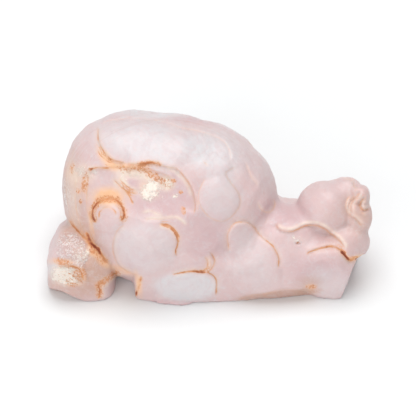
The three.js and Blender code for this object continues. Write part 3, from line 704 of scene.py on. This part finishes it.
@dataclass
class StoneField:
    """The field of the whole stone, less than 0 inside it."""

    face: FaceMap
    back: FaceMap
    face_from: Spot = (-7.0, -2.0)   # w, over which the display face's relief comes in
    back_from: Spot = (24.0, 29.0)   # y, over which the back's relief comes in

    @staticmethod
    def lumps(u: np.ndarray, v: np.ndarray, w: np.ndarray) -> np.ndarray:
        """Slow lumps all over the stone: two products of sines along the face's axes."""
        stray = 1.1 * np.sin(0.21 * w)
        slow = np.sin(0.42 * u + 0.9 + stray) * np.sin(0.37 * v + 0.4) * np.sin(0.33 * w + 1.9)
        quick = np.sin(0.83 * u - 0.31 * w + 0.6) * np.sin(0.74 * v + 0.52 * w + 2.2)
        return 0.26 * slow + 0.11 * quick

    @staticmethod
    def wear(u: np.ndarray, v: np.ndarray, w: np.ndarray) -> np.ndarray:
        """Fine unevenness of the worn skin: sines of about 2 and 1 millimetre."""
        stray = 1.1 * np.sin(0.8 * w + u)
        broad = 0.035 * np.sin(2.9 * u + 1.3 * np.sin(0.9 * v)) * np.sin(2.6 * v + stray)
        fine = 0.02 * np.sin(5.3 * u - 2.1 * w + 2.0 * np.sin(0.7 * v)) * np.sin(4.7 * v + 3.1 * w)
        return broad + fine

    def front_share(self, w: np.ndarray) -> np.ndarray:
        """1 on the display face, 0 behind it."""
        return smooth(w, *self.face_from)

    def back_share(self, v: np.ndarray, w: np.ndarray) -> np.ndarray:
        """1 on the back, 0 on the display face."""
        return smooth(v * SIN - w * COS, *self.back_from)

    @staticmethod
    def back_spot(u: np.ndarray, v: np.ndarray, w: np.ndarray) -> tuple[np.ndarray, np.ndarray]:
        """Where a place lies as seen from behind, looking down by the same tilt."""
        y, z = v * SIN - w * COS, v * COS + w * SIN
        return -u, z * COS + (DEPTH - y) * SIN

    def at(self, u: np.ndarray, v: np.ndarray, w: np.ndarray) -> np.ndarray:
        """The field on the display face's axes: the lobes, the broken under edge, then the relief.

        Args:
            u, v, w: places on the display face's axes.

        Returns:
            Rough distance out of the stone, in millimetres.
        """
        out = None
        for lobe in LOBES:
            near = lobe.distance(u, v, w)
            out = near if out is None else join(out, near, lobe.blend)
        left, right = UNDER_EDGE_FULL
        runs_out = UNDER_EDGE_RAMP * np.maximum(np.maximum(left - u, u - right), 0.0)
        out = cut(out, UNDER_EDGE.distance(u, v, w) - runs_out, UNDER_EDGE_ROUND)
        out = out - self.lumps(u, v, w) - self.wear(u, v, w)
        out = out - self.front_share(w) * self.face.read("relief", u, v)
        return out - self.back_share(v, w) * self.back.read("relief", *self.back_spot(u, v, w))

    def world(self, p: np.ndarray) -> np.ndarray:
        """The field at world places (x, y, z) in millimetres, cut flat at the base."""
        return np.maximum(self.at(*stand(p[..., 0], p[..., 1], p[..., 2])), -p[..., 2])


@dataclass
class Skin:
    """The closed net drawn on the field's surface."""

    stone: StoneField
    cell: float = 0.44
    low: Place = (-44.0, -5.0, -1.4)
    high: Place = (44.0, 50.0, 41.0)
    coarse: int = 4          # fine cells to a coarse one
    reach: float = 1.35      # coarse cells from the surface within which the field is worked out
    settling: int = 3        # steps that bring the points onto the surface
    slope_over: float = 0.04  # half the length over which the field's slope is taken

    def axes(self, spacing: float) -> list[np.ndarray]:
        """The grid's planes along X, Y and Z.

        Args:
            spacing: millimetres between planes.

        Returns:
            The planes' places, one array to an axis.
        """
        step = self.cell * self.coarse
        counts = [int(np.ceil((b - a) / step)) for a, b in zip(self.low, self.high)]
        return [a + spacing * np.arange(round(n * step / spacing) + 1) for a, n in zip(self.low, counts)]

    def values(self) -> tuple[list[np.ndarray], np.ndarray]:
        """The field on the fine grid, worked out only near the surface.

        Elsewhere the nearest coarse value stands in, because only its sign is read.

        Returns:
            The grid's planes along each axis, and the field where they cross.
        """
        rough_axes = self.axes(self.cell * self.coarse)
        crossings = np.stack(np.meshgrid(*rough_axes, indexing="ij"), -1)
        rough = self.stone.world(crossings.astype(np.float32))
        axes = self.axes(self.cell)
        picks = [np.minimum((np.arange(len(a)) + self.coarse // 2) // self.coarse, len(r) - 1)
                 for a, r in zip(axes, rough_axes)]
        grid = rough[np.ix_(*picks)]
        band = np.nonzero(np.abs(grid) < self.cell * self.coarse * self.reach)
        places = np.stack([a[i] for a, i in zip(axes, band)], -1).astype(np.float32)
        grid[band] = self.stone.world(places)
        return axes, grid

    def net(self) -> tuple[np.ndarray, np.ndarray]:
        """One point in each cell that the surface crosses, and quads around the crossed edges.

        Returns:
            The points in millimetres, and the quads as four point numbers each, facing outwards.
        """
        axes, grid = self.values()
        inside = grid < 0
        shape = tuple(n - 1 for n in grid.shape)
        corner = [(a, b, c) for a in (0, 1) for b in (0, 1) for c in (0, 1)]
        count = np.zeros(shape, np.int8)
        for a, b, c in corner:
            count += inside[a:a + shape[0], b:b + shape[1], c:c + shape[2]]
        cells = np.stack(np.nonzero((count > 0) & (count < 8)), -1)
        number = np.full(shape, -1, np.int32)
        number[tuple(cells.T)] = np.arange(len(cells))

        total, crossed = np.zeros((len(cells), 3)), np.zeros(len(cells))
        for axis in range(3):
            step = np.eye(3, dtype=int)[axis]
            for a in [c for c in corner if c[axis] == 0]:
                near, far = cells + a, cells + a + step
                f0, f1 = grid[tuple(near.T)], grid[tuple(far.T)]
                hit = (f0 < 0) != (f1 < 0)
                t = np.where(hit, f0 / np.where(hit, f0 - f1, 1), 0)
                total += np.where(hit[:, None], np.asarray(a) + t[:, None] * step, 0)
                crossed += hit
        places = np.asarray(self.low) + (cells + total / crossed[:, None]) * self.cell

        quads = []
        for axis in range(3):
            one, two = (axis + 1) % 3, (axis + 2) % 3
            ahead = np.moveaxis(inside, axis, 0)
            change = np.moveaxis(ahead[1:] != ahead[:-1], 0, axis)
            edge = np.stack(np.nonzero(change), -1)
            keep = np.all([(edge[:, k] > 0) & (edge[:, k] < shape[k]) for k in (one, two)], axis=0)
            edge = edge[keep]
            ring = []
            for x, y in ((1, 1), (0, 1), (0, 0), (1, 0)):
                at = edge.copy()
                at[:, one] -= x
                at[:, two] -= y
                ring.append(number[tuple(at.T)])
            ring = np.stack(ring, -1)
            outward = inside[tuple(edge.T)]
            quads.append(np.where(outward[:, None], ring, ring[:, ::-1]))
        return places, np.concatenate(quads)

    def settle(self, places: np.ndarray) -> np.ndarray:
        """Moves the net's points onto the surface, down the field's slope, in a few short steps.

        Args:
            places: the points, in millimetres.

        Returns:
            The moved points, none below the base.
        """
        for _ in range(self.settling):
            here = self.stone.world(places)
            slope = np.stack([(self.stone.world(places + step) - self.stone.world(places - step))
                              / (2 * self.slope_over) for step in self.slope_over * np.eye(3)], -1)
            steep = np.maximum((slope ** 2).sum(-1), 0.3)
            move = np.clip(here / steep, -0.3 * self.cell, 0.3 * self.cell)
            places = places - 0.8 * move[:, None] * slope
            places[:, 2] = np.maximum(places[:, 2], 0.0)
        return places


class Num:
    """A number in a shader: a node's output socket, with the operators that this scene uses."""

    def __init__(self, shader: "Shader", socket: bpy.types.NodeSocket | float) -> None:
        """Wraps a socket, or a plain number."""
        self.shader, self.socket = shader, socket

    def _math(self, operation: str, *others: "Num | float", clamp: bool = False) -> "Num":
        """A Math node on this number and the others.

        Args:
            operation: the node's operation.
            others: its other inputs.
            clamp: whether the result is held between 0 and 1.

        Returns:
            The node's result.
        """
        values = [self.socket] + [o.socket if isinstance(o, Num) else o for o in others]
        settings = {"operation": operation, "use_clamp": clamp}
        node = self.shader.node("ShaderNodeMath", settings, dict(enumerate(values)))
        return Num(self.shader, node.outputs[0])

    def __add__(self, other: "Num | float") -> "Num":
        """Sum."""
        return self._math("ADD", other)

    __radd__ = __add__

    def __mul__(self, other: "Num | float") -> "Num":
        """Product."""
        return self._math("MULTIPLY", other)

    __rmul__ = __mul__

    def __sub__(self, other: "Num | float") -> "Num":
        """Difference."""
        return self._math("SUBTRACT", other)

    def __rsub__(self, other: float) -> "Num":
        """A plain number less this one."""
        return Num(self.shader, other)._math("SUBTRACT", self)

    def __abs__(self) -> "Num":
        """Size without sign."""
        return self._math("ABSOLUTE")

    def clamped(self, most: float = 1.0) -> "Num":
        """Held between 0 and the most."""
        if most == 1.0:
            return self._math("ADD", 0.0, clamp=True)
        return self._math("MAXIMUM", 0.0)._math("MINIMUM", most)

    def step(self, low: float, high: float) -> "Num":
        """0 at low and 1 at high, with a smooth step between, either way round."""
        sockets = {"Value": self.socket, "From Min": low, "From Max": high}
        node = self.shader.node("ShaderNodeMapRange", {"interpolation_type": "SMOOTHSTEP"}, sockets)
        return Num(self.shader, node.outputs[0])


class Shader:
    """One node tree, with a method for any node and a few for the usual ones."""

    def __init__(self, name: str) -> None:
        """Starts an empty material with this name."""
        self.material = bpy.data.materials.new(name)
        self.material.use_nodes = True
        self.tree = self.material.node_tree
        self.tree.nodes.clear()
        coordinates = self.node("ShaderNodeTexCoord", {}, {})
        self.place = coordinates.outputs["Object"]

    def node(self, kind: str, settings: dict[str, object],
             sockets: dict[object, object]) -> bpy.types.Node:
        """Adds a node.

        Args:
            kind: the node's type.
            settings: its own properties, set first.
            sockets: input name or number to a value, a Num or a socket that it links.

        Returns:
            The node.
        """
        node = self.tree.nodes.new(kind)
        for key, value in settings.items():
            setattr(node, key, value)
        for key, value in sockets.items():
            value = value.socket if isinstance(value, Num) else value
            if isinstance(value, bpy.types.NodeSocket):
                self.tree.links.new(value, node.inputs[key])
            else:
                node.inputs[key].default_value = value
        return node

    def layer(self, name: str) -> Num:
        """The mesh's attribute of this name."""
        return Num(self, self.node("ShaderNodeAttribute", {"attribute_name": name}, {}).outputs["Fac"])

    def noise(self, per_metre: float, detail: float = 3.0, rough: float = 0.5, warp: float = 0.0) -> Num:
        """Noise of about 0 to 1 on the object's own places.

        Args:
            per_metre: waves to a metre.
            detail: how many finer layers are added.
            rough: how strong each finer layer is.
            warp: how far the noise is bent by itself.

        Returns:
            The noise.
        """
        sockets = {"Vector": self.place, "Scale": per_metre, "Detail": detail, "Roughness": rough,
                   "Distortion": warp}
        return Num(self, self.node("ShaderNodeTexNoise", {}, sockets).outputs[0])

    def web(self, noise: Num, half: float) -> Num:
        """Wandering lines of this half width where a noise passes its middle value."""
        return abs(noise - 0.5).step(half, 0.0)

    def cells(self, per_metre: float) -> Num:
        """Distance to the middle of the nearest grain, about 0 to 1."""
        node = self.node("ShaderNodeTexVoronoi", {}, {"Vector": self.place, "Scale": per_metre})
        return Num(self, node.outputs["Distance"])

    def bands(self, ring: str, share: str) -> Num:
        """Fine growth bands: noise that changes fast with the ring attribute.

        Args:
            ring: the attribute that counts the bands outwards, in millimetres.
            share: the attribute that says how clear the bands are.

        Returns:
            The bands, 0.5 where share is 0.
        """
        turned = self.node("ShaderNodeSeparateXYZ", {}, {0: self.place})
        along = Num(self, turned.outputs[2]) * 60.0 + Num(self, turned.outputs[0]) * 40.0
        at = self.node("ShaderNodeCombineXYZ", {}, {0: self.layer(ring) * 2.6, 1: along})
        sockets = {"Vector": at.outputs[0], "Scale": 1.0, "Detail": 2.0, "Roughness": 0.6}
        raw = Num(self, self.node("ShaderNodeTexNoise", {}, sockets).outputs[0])
        return 0.5 + (raw - 0.5) * self.layer(share)

    def mix(self, share: Num | float, a: object, b: object) -> bpy.types.NodeSocket:
        """Colour a where share is 0, and b where it is 1."""
        node = self.node("ShaderNodeMix", {"data_type": "RGBA"}, {0: share, 6: a, 7: b})
        return node.outputs[2]

    def finish(self, **sockets: object) -> bpy.types.Material:
        """Ends the tree in a Principled shader with these sockets.

        Args:
            sockets: input names, with _ for a space, to values, Nums or sockets.

        Returns:
            The material.
        """
        named = {key.replace("_", " "): value for key, value in sockets.items()}
        principled = self.node("ShaderNodeBsdfPrincipled", {}, named)
        self.node("ShaderNodeOutputMaterial", {}, {"Surface": principled.outputs[0]})
        return self.material


ROOM_LIGHT = 1.15  # how bright the studio lights a flat white sheet


def paint(red: int, green: int, blue: int) -> tuple[float, float, float, float]:
    """A colour as seen in the studio, 0 to 255, made the share of light that the surface returns."""
    share = [c / 255 for c in (red, green, blue)]
    return tuple(((c + 0.055) / 1.055) ** 2.4 / ROOM_LIGHT for c in share) + (1.0,)


@dataclass(frozen=True)
class ChalcedonyFinish:
    """Milky pink chalcedony with rust in its seams and sugary crust in its hollows."""

    body: tuple[float, ...] = paint(226, 200, 199)
    milk: tuple[float, ...] = paint(226, 219, 221)
    blush: tuple[float, ...] = paint(217, 185, 187)
    tan: tuple[float, ...] = paint(210, 172, 156)
    glow: tuple[float, ...] = paint(251, 204, 160)
    amber: tuple[float, ...] = paint(243, 178, 118)
    apricot: tuple[float, ...] = paint(238, 188, 152)
    ochre: tuple[float, ...] = paint(224, 152, 98)
    rust: tuple[float, ...] = paint(194, 118, 76)
    iron: tuple[float, ...] = paint(180, 98, 62)
    oxide: tuple[float, ...] = paint(154, 66, 36)
    crust: tuple[float, ...] = paint(255, 244, 233)
    # pale lines beside the seams, partly painted highlight along the ledges' edges
    cream: tuple[float, ...] = paint(247, 229, 214)
    # the next two: the white of the druse's crystals with painted glints, then painted shade for the
    # gaps between them
    crystal_glint: tuple[float, ...] = paint(255, 248, 246)
    shade: tuple[float, ...] = paint(208, 184, 182)

    def material(self) -> bpy.types.Material:
        """The stone's one material, led by the mesh's tone attributes and broken up by noise.

        Returns:
            The material.
        """
        s = Shader("chalcedony")
        cloud = s.noise(60.0, 3.0, 0.55, 0.6)
        blot = s.noise(150.0, 2.0, 0.6, 0.8)
        patchy = s.noise(320.0, 1.0)
        vein = s.noise(480.0, 4.0, 0.7, 1.0)
        crumb = s.noise(1900.0, 3.0, 0.7, 0.2)
        grain = s.cells(1500.0)
        bands = s.bands("ring", "streak")

        # Broad tones of the body, and wandering pale and pink lines in it
        milk = s.layer("milk") * (0.6 + 0.8 * cloud)
        blush = s.layer("blush") * (0.5 + cloud)
        tan = s.layer("tan") * (0.5 + 1.0 * blot)
        web = s.web(s.noise(230.0, 3.0, 0.55, 1.4), 0.03) * (0.2 + cloud)
        haze = s.web(s.noise(120.0, 3.0, 0.6, 1.0), 0.09) * (1.2 - cloud)

        # Sugary crust, thin as a film at its rim
        crust_layer, rust_layer = s.layer("crust"), s.layer("rust")
        grit = 1.7 * (crumb - 0.5) + 1.1 * (vein - 0.5) + 0.5 * (blot - 0.5)
        thin = 0.7 * crust_layer + 0.9 * (blot - 0.5) + 0.6 * (vein - 0.5)
        film = (thin.step(0.1, 0.75) * crust_layer.step(0.02, 0.3)).clamped()
        crust = ((0.6 * crust_layer + grit).step(0.3, 0.52) * crust_layer.step(0.05, 0.35)).clamped()

        # Soaked-in stain, and crumbs of rust with a wash around them
        soaked = s.layer("glow") * (0.35 + 1.3 * vein)
        soak, deep = soaked.clamped(), soaked.step(0.75, 1.5)
        thin = 0.6 * rust_layer + 0.8 * (vein - 0.5) + 0.5 * (blot - 0.5)
        wash = (thin.step(0.1, 0.6) * rust_layer.step(0.04, 0.3)).clamped()
        grains = 0.5 * rust_layer.clamped(1.05) + (2.1 * (crumb - 0.5) + 0.45 * (vein - 0.5))
        specks = (grains.step(0.37, 0.64) * rust_layer.step(0.08, 0.4)).clamped()
        # Pale lines beside the seams: partly pale stone, partly painted highlight along the ledges'
        # edges
        cream = (s.layer("cream") * (0.15 + 1.3 * vein)).clamped()

        # Small glassy crystals: bright wandering edges, white with painted glints, over painted shade in
        # the gaps
        facets = s.layer("druse") * (0.5 + patchy)
        curls = abs(s.noise(760.0, 2.0, 0.6, 1.3) - 0.5).step(0.07, 0.01)
        crystals = (facets.step(0.25, 0.6) * curls * (0.75 + 1.6 * (vein - 0.35))).clamped()
        shadows = (facets.step(0.25, 0.7) * grain.step(0.25, 0.6) * 0.6).clamped()

        # Stained seams: a soft line, an ochre core in the stronger ones, and iron in the strongest
        edge = abs(s.layer("line") + 0.6 * (vein - 0.5) + 0.25 * (crumb - 0.5)) * (1.7 - 1.4 * patchy)
        strength = s.layer("strength") * (4.4 * blot - 1.25).clamped(1.7)
        edge = edge * (1.2 - 0.27 * strength.clamped(2.0))
        line = (edge.step(0.28, 0.06) * strength * (0.5 + vein)).clamped()
        core = (edge.step(0.28, 0.04) * (1.4 * (strength - 0.4))).clamped()
        dark = (edge.step(0.2, 0.02) * (1.5 * (strength + 1.2 * (vein - 0.5) - 0.95))).clamped()
        darkest = edge.step(0.28, 0.06) * (1.2 * (strength - 1.5))

        # The colours in the order that they lie on one another
        laid = (
            (blush, self.blush),
            (milk, self.milk),
            (tan, self.tan),
            (bands.step(0.52, 0.7) * (cloud * 0.6), self.milk),
            (bands.step(0.48, 0.3) * (blot * 0.5), self.tan),
            # painted shade in the druse's gaps, then its crystals' white with painted glints
            (shadows * 0.8, self.shade),
            (crystals * 0.85, self.crystal_glint),
            (1.8 * (vein - 0.54), self.milk),
            (1.1 * (0.47 - vein), self.blush),
            (web * 0.4, self.milk),
            (haze * 0.26, self.blush),
            (soak * 0.8, self.glow),
            (deep * 0.45, self.amber),
            (wash * 0.5, self.apricot),
            (line * 0.9, self.apricot),
            (cream * 0.85, self.cream),
            (film * 0.5, self.cream),
            (crust * (0.3 + 0.6 * vein + 0.7 * crumb), self.crust),
            (specks * 0.75, self.ochre),
            (specks * (crumb * blot).step(0.25, 0.36) * 0.34, self.rust),
            (core * 0.9, self.ochre),
            (dark * 0.85, self.iron),
            (darkest, self.oxide),
        )
        colour = self.body
        for share, tone in laid:
            colour = s.mix(share.clamped(), colour, tone)

        rough = 0.42 + 0.3 * crust + 0.25 * specks + 0.14 * (vein - 0.5)
        relief = (0.42 * (vein - 0.5) + 0.22 * (crumb - 0.5) + 0.25 * bands
                  + crust * (0.9 * (1.0 - grain)) + 0.6 * crystals + specks * 0.2 * crumb - 0.3 * line)
        bump = s.node("ShaderNodeBump", {}, {"Strength": 0.6, "Distance": 0.0004, "Height": relief})
        return s.finish(Base_Color=colour, Roughness=rough, Normal=bump.outputs[0], IOR=1.53,
                        Subsurface_Weight=0.35, Subsurface_Radius=(1.0, 0.62, 0.55),
                        Subsurface_Scale=0.0018)


@dataclass
class Stone:
    """The whole stone: its skin, its tone attributes and its finish."""

    name: str = "chalcedony_stone"
    finish: ChalcedonyFinish = ChalcedonyFinish()
    face: FaceMap = a_field(default_factory=lambda: FaceMap(FACE_SWELLINGS, FACE_SEAMS, FACE_PATCHES))
    back: FaceMap = a_field(default_factory=lambda: FaceMap(BACK_SWELLINGS, BACK_SEAMS, BACK_PATCHES))
    cell: float = 0.44        # millimetres between points
    quick_cell: float = 0.8   # the same, coarser

    def build(self) -> bpy.types.Object:
        """Makes the stone's mesh, dresses it, and stands it for the CAD node.

        Returns:
            The stone.
        """
        self.face.work_out()
        self.back.work_out()
        stone = StoneField(self.face, self.back)
        skin = Skin(stone, cell=self.cell)
        places, quads = skin.net()
        places = skin.settle(places)
        mesh = bpy.data.meshes.new(self.name)
        mesh.from_pydata(((places - (0.0, ORIGIN_BACK, 0.0)) * MM).tolist(), [], quads.tolist())
        mesh.polygons.foreach_set("use_smooth", np.ones(len(quads), bool))
        self.tone(mesh, stone, places)
        mesh.update()
        piece = bpy.data.objects.new(self.name, mesh)
        bpy.context.scene.collection.objects.link(piece)
        mesh.materials.append(self.finish.material())
        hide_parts("chalcedony")
        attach(piece, "root")
        return piece

    def tone(self, mesh: bpy.types.Mesh, stone: StoneField, places: np.ndarray) -> None:
        """Writes each map layer to the mesh: the display face's in front, the back's behind.

        Args:
            mesh: the stone's mesh.
            stone: the field, for how far each point is in front or behind.
            places: the mesh's points, in millimetres.
        """
        u, v, w = stand(*places.T)
        front, behind = stone.front_share(w), stone.back_share(v, w)
        spot = stone.back_spot(u, v, w)
        for layer in ("line", "strength", *(tone.value for tone in Tone)):
            one, two = self.face.read(layer, u, v), self.back.read(layer, *spot)
            value = np.where(behind > 0.5, two, one) if layer == "line" else front * one + behind * two
            self.write(mesh, layer, value)
        ring, streak = self.growth(u, v)
        self.write(mesh, "ring", ring)
        self.write(mesh, "streak", streak)

    @staticmethod
    def write(mesh: bpy.types.Mesh, layer: str, value: np.ndarray) -> None:
        """Stores one number for each point of the mesh."""
        attribute = mesh.attributes.new(layer, "FLOAT", "POINT")
        attribute.data.foreach_set("value", value.astype(np.float32))

    @staticmethod
    def growth(u: np.ndarray, v: np.ndarray) -> tuple[np.ndarray, np.ndarray]:
        """The dome's growth bands, which show near its outline, above and at the left.

        Args:
            u, v: places on the face.

        Returns:
            How many millimetres out each place lies on the dome, and how clear the bands are there.
        """
        ring = np.hypot((u - DOME_AT[0]) / DOME_HALF[0], (v - DOME_AT[1]) / DOME_HALF[1])
        near_rim = smooth(ring, 0.72, 0.92) * smooth(ring, 1.14, 1.04)
        off_snout = smooth(u, 18.0, 12.0)
        left_or_above = np.maximum(smooth(u, -10.0, -20.0), smooth(v, 20.0, 28.0))
        off_foot = np.maximum(smooth(v + 1.1 * (u + 24.1), 9.0, 10.0), smooth(u, -22.0, -20.0))
        return ring * DOME_HALF[1], near_rim * off_snout * left_or_above * off_foot


@dataclass
class Studio:
    """A white table in soft light, and a long lens at the photograph's viewing angle."""

    lens: float = 200.0
    sensor: float = 36.0
    frame_wide: float = 416 * 0.2454 * MM       # the picture's width at the stone
    aim: Place = (-0.25, 22.8, 0.0)             # the picture's middle on the display face
    stone_middle: Place = (0.0, 0.006, 0.015)   # where the lamps point, in metres
    table_half: float = 6.0
    table_paint: tuple[float, ...] = (0.832, 0.844, 0.848, 1.0)
    room_light: float = 0.56

    def floor(self) -> bpy.types.Object:
        """A wide white sheet.

        Returns:
            The sheet.
        """
        mesh = bpy.data.meshes.new("table")
        s = self.table_half
        mesh.from_pydata([(-s, -s, 0), (s, -s, 0), (s, s, 0), (-s, s, 0)], [], [(0, 1, 2, 3)])
        table = bpy.data.objects.new("table", mesh)
        bpy.context.scene.collection.objects.link(table)
        shader = Shader("table_white")
        mesh.materials.append(shader.finish(Base_Color=self.table_paint, Roughness=0.9,
                                            Specular_IOR_Level=0.1))
        return table

    def lamp(self, name: str, at: Place, size: float, watts: float) -> None:
        """A square soft light, facing the stone.

        Args:
            name: the lamp's name.
            at: its place in metres.
            size: its side in metres.
            watts: its power.
        """
        light = bpy.data.lights.new(name, "AREA")
        light.size, light.energy = size, watts
        lamp = bpy.data.objects.new(name, light)
        lamp.location = at
        towards = Vector(self.stone_middle) - Vector(at)
        lamp.rotation_euler = towards.to_track_quat("-Z", "Y").to_euler()
        bpy.context.scene.collection.objects.link(lamp)

    def world(self) -> None:
        """Even white light from all round."""
        world = bpy.data.worlds.new("white_room")
        world.use_nodes = True
        world.node_tree.nodes["Background"].inputs[0].default_value = (1, 1, 1, 1)
        world.node_tree.nodes["Background"].inputs[1].default_value = self.room_light
        bpy.context.scene.world = world

    def camera(self) -> None:
        """Looks along the display face's outward axis, from where the frame is the photograph's."""
        far = self.lens / self.sensor * self.frame_wide
        u, v, w = (c * MM for c in self.aim)
        target = Vector((u, v * SIN - w * COS - ORIGIN_BACK * MM, v * COS + w * SIN))
        data = bpy.data.cameras.new("camera")
        data.lens, data.sensor_width, data.clip_end = self.lens, self.sensor, 20.0
        camera = bpy.data.objects.new("camera", data)
        camera.location = target + far * Vector((0, -COS, SIN))
        camera.rotation_euler = (target - camera.location).to_track_quat("-Z", "Y").to_euler()
        bpy.context.scene.collection.objects.link(camera)
        bpy.context.scene.camera = camera

    def build(self) -> None:
        """Sets the table, the lights, the camera and the plain colour transform."""
        self.camera()
        self.floor()
        self.world()
        self.lamp("overhead", (0.0, 0.17, 0.86), 0.65, 5.2)
        self.lamp("front", (-0.3, -0.86, 0.3), 0.8, 4.2)
        bpy.context.scene.view_settings.view_transform = "Standard"


def main() -> None:
    """Builds the studio and the stone."""
    logging.basicConfig(level=logging.INFO, format="%(name)s: %(message)s")
    Studio().build()
    stone = Stone().build()
    mesh = stone.data
    log.info("%s: %d points, %d faces", stone.name, len(mesh.vertices), len(mesh.polygons))


if __name__ == "__main__":
    main()
